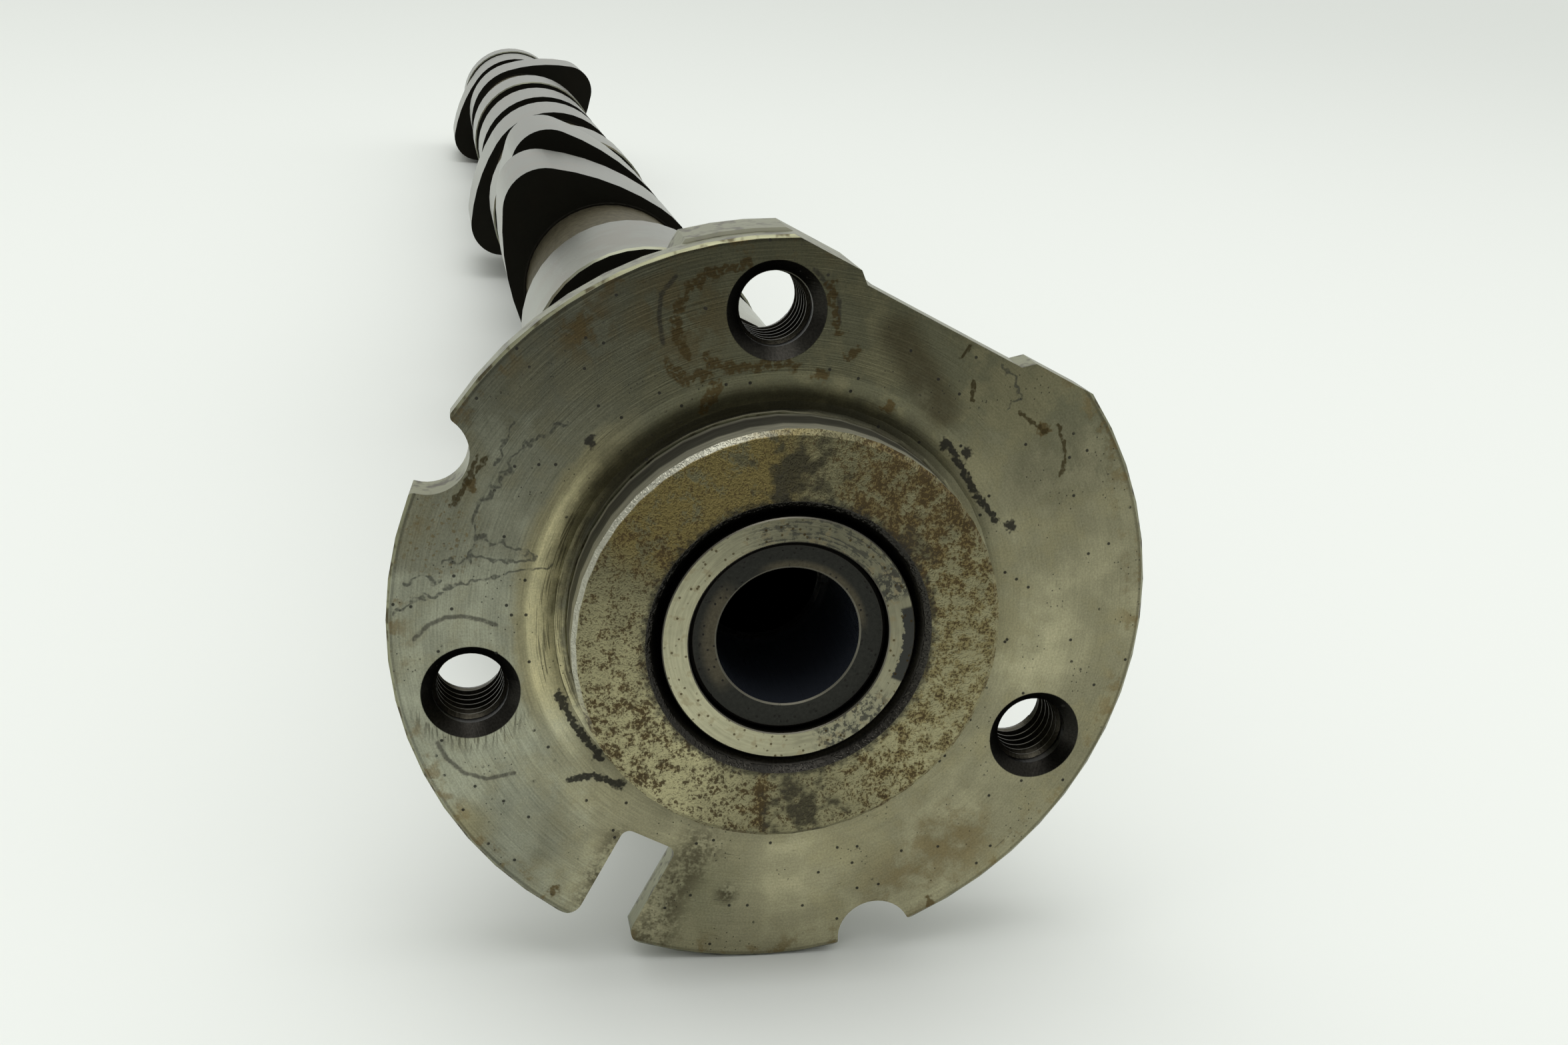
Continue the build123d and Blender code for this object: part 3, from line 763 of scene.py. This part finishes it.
def sleeve_material():
    """Sleeve: pale turned steel with a brown film, dark smears on its face and small nicks, painted
    shade at its top, and its walls behind its front painted near black as shade.
    """
    g = Graph("sleeve_steel")
    arcs = g.rings(5.0, 3.0, 3.0)
    blotch = g.noise(0.8, 3.0, 0.6, seed=2.0)
    smear = g.noise(1.7, 3.0, 0.7, seed=3.0)
    # Brightness by direction: partly tone, partly painted shade at the top
    pale = g.by_turn(SLEEVE_TONE_AND_SHADE)
    mottle = g.add(g.times(arcs, 0.65), g.times(blotch, 0.35))
    colour = g.scaled(g.tint(mottle, SLEEVE_STEEL, 0.4, 1.55), pale)
    colour = g.mix(g.times(g.step(blotch, 0.52, 0.68), 0.45), colour, SLEEVE_BROWN)

    outer = g.over(g.add(g.radius, g.sway(smear, 0.9)), SLEEVE_MIDDLE, 0.05)
    dark_patch = g.times(g.sector(*SLEEVE_DARK_PATCH), outer)
    smudge = g.times(g.sector(*SLEEVE_SMUDGE), g.step(smear, 0.40, 0.55))
    low = g.times(g.sector(*SLEEVE_LOW), g.step(smear, 0.46, 0.60))
    top = g.sector(*SLEEVE_TOP)
    top = g.times(top, g.step(g.add(arcs, g.sway(smear, 0.6)), 0.48, 0.62), 0.75)
    dark = g.most(dark_patch, g.times(smudge, 0.85), g.times(low, 0.8), top)
    on_face = g.over(g.front, 0.9, 0.05)
    dark = g.times(dark, on_face)
    colour = g.mix(dark, colour, SLEEVE_SMEAR)
    nicks = g.times(g.dots(1.1, 0.15, 1.0), g.over(blotch, 0.50, 0.04))
    colour = g.mix(g.times(nicks, 0.8), colour, PIT)
    colour = g.mix(g.less(1.0, on_face), colour, SLEEVE_EDGE)
    # Painted shade: the sleeve's walls behind its front, between the boss and the bush, are near
    # black
    colour = g.mix(g.over(g.y, -4.5, 0.1), colour, BLACK_OIL_AND_SHADE)
    height = g.add(g.times(arcs, 0.6), g.times(smear, 0.4))
    return g.finish(colour, g.blend(dark, 0.34, 0.50), 1.0, height, 0.02)


def bush_material():
    """Bush: dark sintered metal with pits, worn round its bore, a bluish shine inside, and near
    black painted shade in its gap to the sleeve.
    """
    g = Graph("bush_sinter")
    grain = g.noise(3.0, 3.0, 0.7, seed=1.0)
    colour = g.tint(grain, SINTER, 0.6, 1.5)
    pits = g.times(g.dots(1.3, 0.15, 2.0), g.over(g.noise(0.9, 2.0, seed=3.0), 0.52, 0.05))
    worn_left = g.times(g.sector(*BUSH_WORN_LEFT), g.under(g.radius, 7.3, 0.5))
    worn_right = g.times(g.sector(*BUSH_WORN_RIGHT), g.under(g.radius, 6.7, 0.3))
    worn = g.times(g.most(worn_left, worn_right), 0.6)
    colour = g.mix(worn, colour, g.tint(grain, SINTER_WORN, 0.5, 1.4))
    colour = g.mix(pits, colour, SOOT)
    lip = g.under(g.radius, BUSH_BORE + 0.14, 0.03)
    colour = g.mix(lip, colour, BUSH_LIP)
    in_bore = g.under(g.radius, BUSH_BORE + 0.05, 0.02)
    in_bore = g.times(in_bore, g.over(g.y, BUSH_FRONT + 0.15, 0.05))
    colour = g.mix(in_bore, colour, BUSH_WALL)
    # Painted shade: near black in the gap between the bush and the sleeve
    colour = g.mix(g.over(g.radius, 8.05, 0.1), colour, BLACK_OIL_AND_SHADE)
    height = g.less(g.times(grain, 0.5), pits)
    return g.finish(colour, g.blend(in_bore, 0.46, 0.22), 0.8, height, 0.03)


def thread_material():
    """Threads: dark oiled steel, paler in places."""
    g = Graph("thread_oiled")
    colour = g.mix(g.noise(2.0, 3.0, 0.6, 1.0, THROUGH_SPACE), THREAD_DARK, THREAD_PALE)
    grain = g.noise(5.0, 2.0, 0.6, 2.0, THROUGH_SPACE)
    return g.finish(colour, 0.32, 1.0, grain, 0.02)


def thread(name, centre):
    """Ridge of an internal thread: one closed helical bar on the hole's wall."""
    per_turn = 48
    fade_steps = 24
    root = HOLE_RADIUS + 0.12
    start, end = 0.9, HUB_BACK + 0.2
    count = int(per_turn * (end - start - THREAD_PITCH) / THREAD_PITCH)
    # Section of the bar, as (radius, place along the hole in pitches)
    section = (
        (root, 0.0), (HOLE_RADIUS, 0.10), (THREAD_CREST, 0.44),
        (THREAD_CREST, 0.56), (HOLE_RADIUS, 0.90), (root, 0.99),
    )
    mesh = bmesh.new()
    loops = []
    for i in range(count + 1):
        angle = 2 * pi * i / per_turn
        fade = min(1.0, i / fade_steps, (count - i) / fade_steps)
        loop = []
        for radius, along in section:
            reach = min(radius, HOLE_RADIUS) - HOLE_RADIUS
            here = max(radius, HOLE_RADIUS) + reach * fade
            depth = start + THREAD_PITCH * (along + i / per_turn)
            place = (centre[0] + here * cos(angle), depth, centre[1] + here * sin(angle))
            loop.append(mesh.verts.new(Vector(place) * MM))
        loops.append(loop)
    for a, b in zip(loops, loops[1:]):
        for j in range(len(section)):
            k = (j + 1) % len(section)
            mesh.faces.new((a[j], a[k], b[k], b[j]))
    mesh.faces.new(loops[0])
    mesh.faces.new(list(reversed(loops[-1])))
    bmesh.ops.recalc_face_normals(mesh, faces=mesh.faces)
    data = bpy.data.meshes.new(name)
    mesh.to_mesh(data)
    mesh.free()
    piece = bpy.data.objects.new(name, data)
    bpy.context.scene.collection.objects.link(piece)
    return piece


def dress(node, material):
    frame["nodes"][node].material_slots[0].material = material


dress("camshaft", camshaft_material())
dress("bore_sleeve", sleeve_material())
dress("bore_bush", bush_material())

thread_look = thread_material()
for number, centre in enumerate(HOLE_CENTRES, 1):
    ridge = thread(f"screw_thread_{number}", centre)
    ridge.data.materials.append(thread_look)
    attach(ridge, "root")


def staged_plane(name, corners, colour, roughness):
    """A flat sheet of one plain colour, for the studio."""
    data = bpy.data.meshes.new(name)
    data.from_pydata(corners, [], [(0, 1, 2, 3)])
    sheet = bpy.data.objects.new(name, data)
    bpy.context.scene.collection.objects.link(sheet)
    material = bpy.data.materials.new(name)
    material.use_nodes = True
    shader = material.node_tree.nodes["Principled BSDF"]
    shader.inputs["Base Color"].default_value = (*colour, 1.0)
    shader.inputs["Roughness"].default_value = roughness
    data.materials.append(material)
    return sheet


def make_floor():
    """White table under the flange's rim and the lowest cams, so it tips by about two degrees."""
    lowest = -FLANGE_RADIUS * MM
    clear_of_flange = 2 * HUB_BACK * MM
    shaft = [v.co for v in frame["nodes"]["camshaft"].data.vertices if v.co.y > clear_of_flange]
    slope = min((co.z - lowest) / co.y for co in shaft)
    half = 6.0
    sides = ((-half, -half), (half, -half), (half, half), (-half, half))
    staged_plane("floor", [(x, y, lowest + slope * y) for x, y in sides], FLOOR_COLOUR, 0.75)


def make_flag():
    """Dark flag in front, seen only in reflections: it stands where the photographer does."""
    left, right, front, bottom, top = -0.25, 0.09, -0.16, -0.034, 0.30
    sides = ((left, bottom), (right, bottom), (right, top), (left, top))
    flag = staged_plane("flag", [(x, front, z) for x, z in sides], FLAG_COLOUR, 1.0)
    flag.visible_camera = False
    flag.visible_shadow = False
    flag.visible_diffuse = False


def make_world():
    """Soft light: dim on the viewer's side, bright behind, brightest overhead."""
    world = bpy.data.worlds.new("studio")
    bpy.context.scene.world = world
    world.use_nodes = True
    nodes, links = world.node_tree.nodes, world.node_tree.links
    place = nodes.new("ShaderNodeTexCoord")
    split = nodes.new("ShaderNodeSeparateXYZ")
    links.new(place.outputs["Generated"], split.inputs[0])
    total = nodes.new("ShaderNodeMath")
    for i, (axis, values) in enumerate((SKY_BEHIND, SKY_OVERHEAD)):
        fade = nodes.new("ShaderNodeMapRange")
        fade.interpolation_type = "SMOOTHSTEP"
        for socket, number in zip(list(fade.inputs)[1:5], values):
            socket.default_value = number
        links.new(split.outputs[axis], fade.inputs[0])
        links.new(fade.outputs[0], total.inputs[i])
    links.new(total.outputs[0], nodes["Background"].inputs["Strength"])
    nodes["Background"].inputs["Color"].default_value = SKY_COLOUR


def make_lamp():
    """Square lamp overhead, facing the part."""
    data = bpy.data.lights.new("overhead", "AREA")
    data.shape = "SQUARE"
    data.size = LAMP_SIDE
    data.energy = LAMP_WATTS
    lamp = bpy.data.objects.new("overhead", data)
    lamp.location = LAMP_PLACE
    lamp.rotation_euler = (-lamp.location).to_track_quat("-Z", "Y").to_euler()
    bpy.context.scene.collection.objects.link(lamp)


def make_camera():
    """Camera at the photograph's viewing angle."""
    data = bpy.data.cameras.new("camera")
    data.sensor_width = SENSOR_WIDTH
    data.lens = FOCAL_LENGTH
    data.clip_start = 0.01
    camera = bpy.data.objects.new("camera", data)
    right = Vector(CAMERA_RIGHT).normalized()
    ahead = Vector(CAMERA_AHEAD).normalized()
    turn = Matrix((right, right.cross(ahead).normalized(), -ahead)).transposed().to_4x4()
    camera.matrix_world = Matrix.Translation(Vector(CAMERA_PLACE) * MM) @ turn
    bpy.context.scene.collection.objects.link(camera)
    bpy.context.scene.camera = camera


make_floor()
make_flag()
make_world()
make_lamp()
make_camera()
bpy.context.scene.view_settings.view_transform = "Standard"
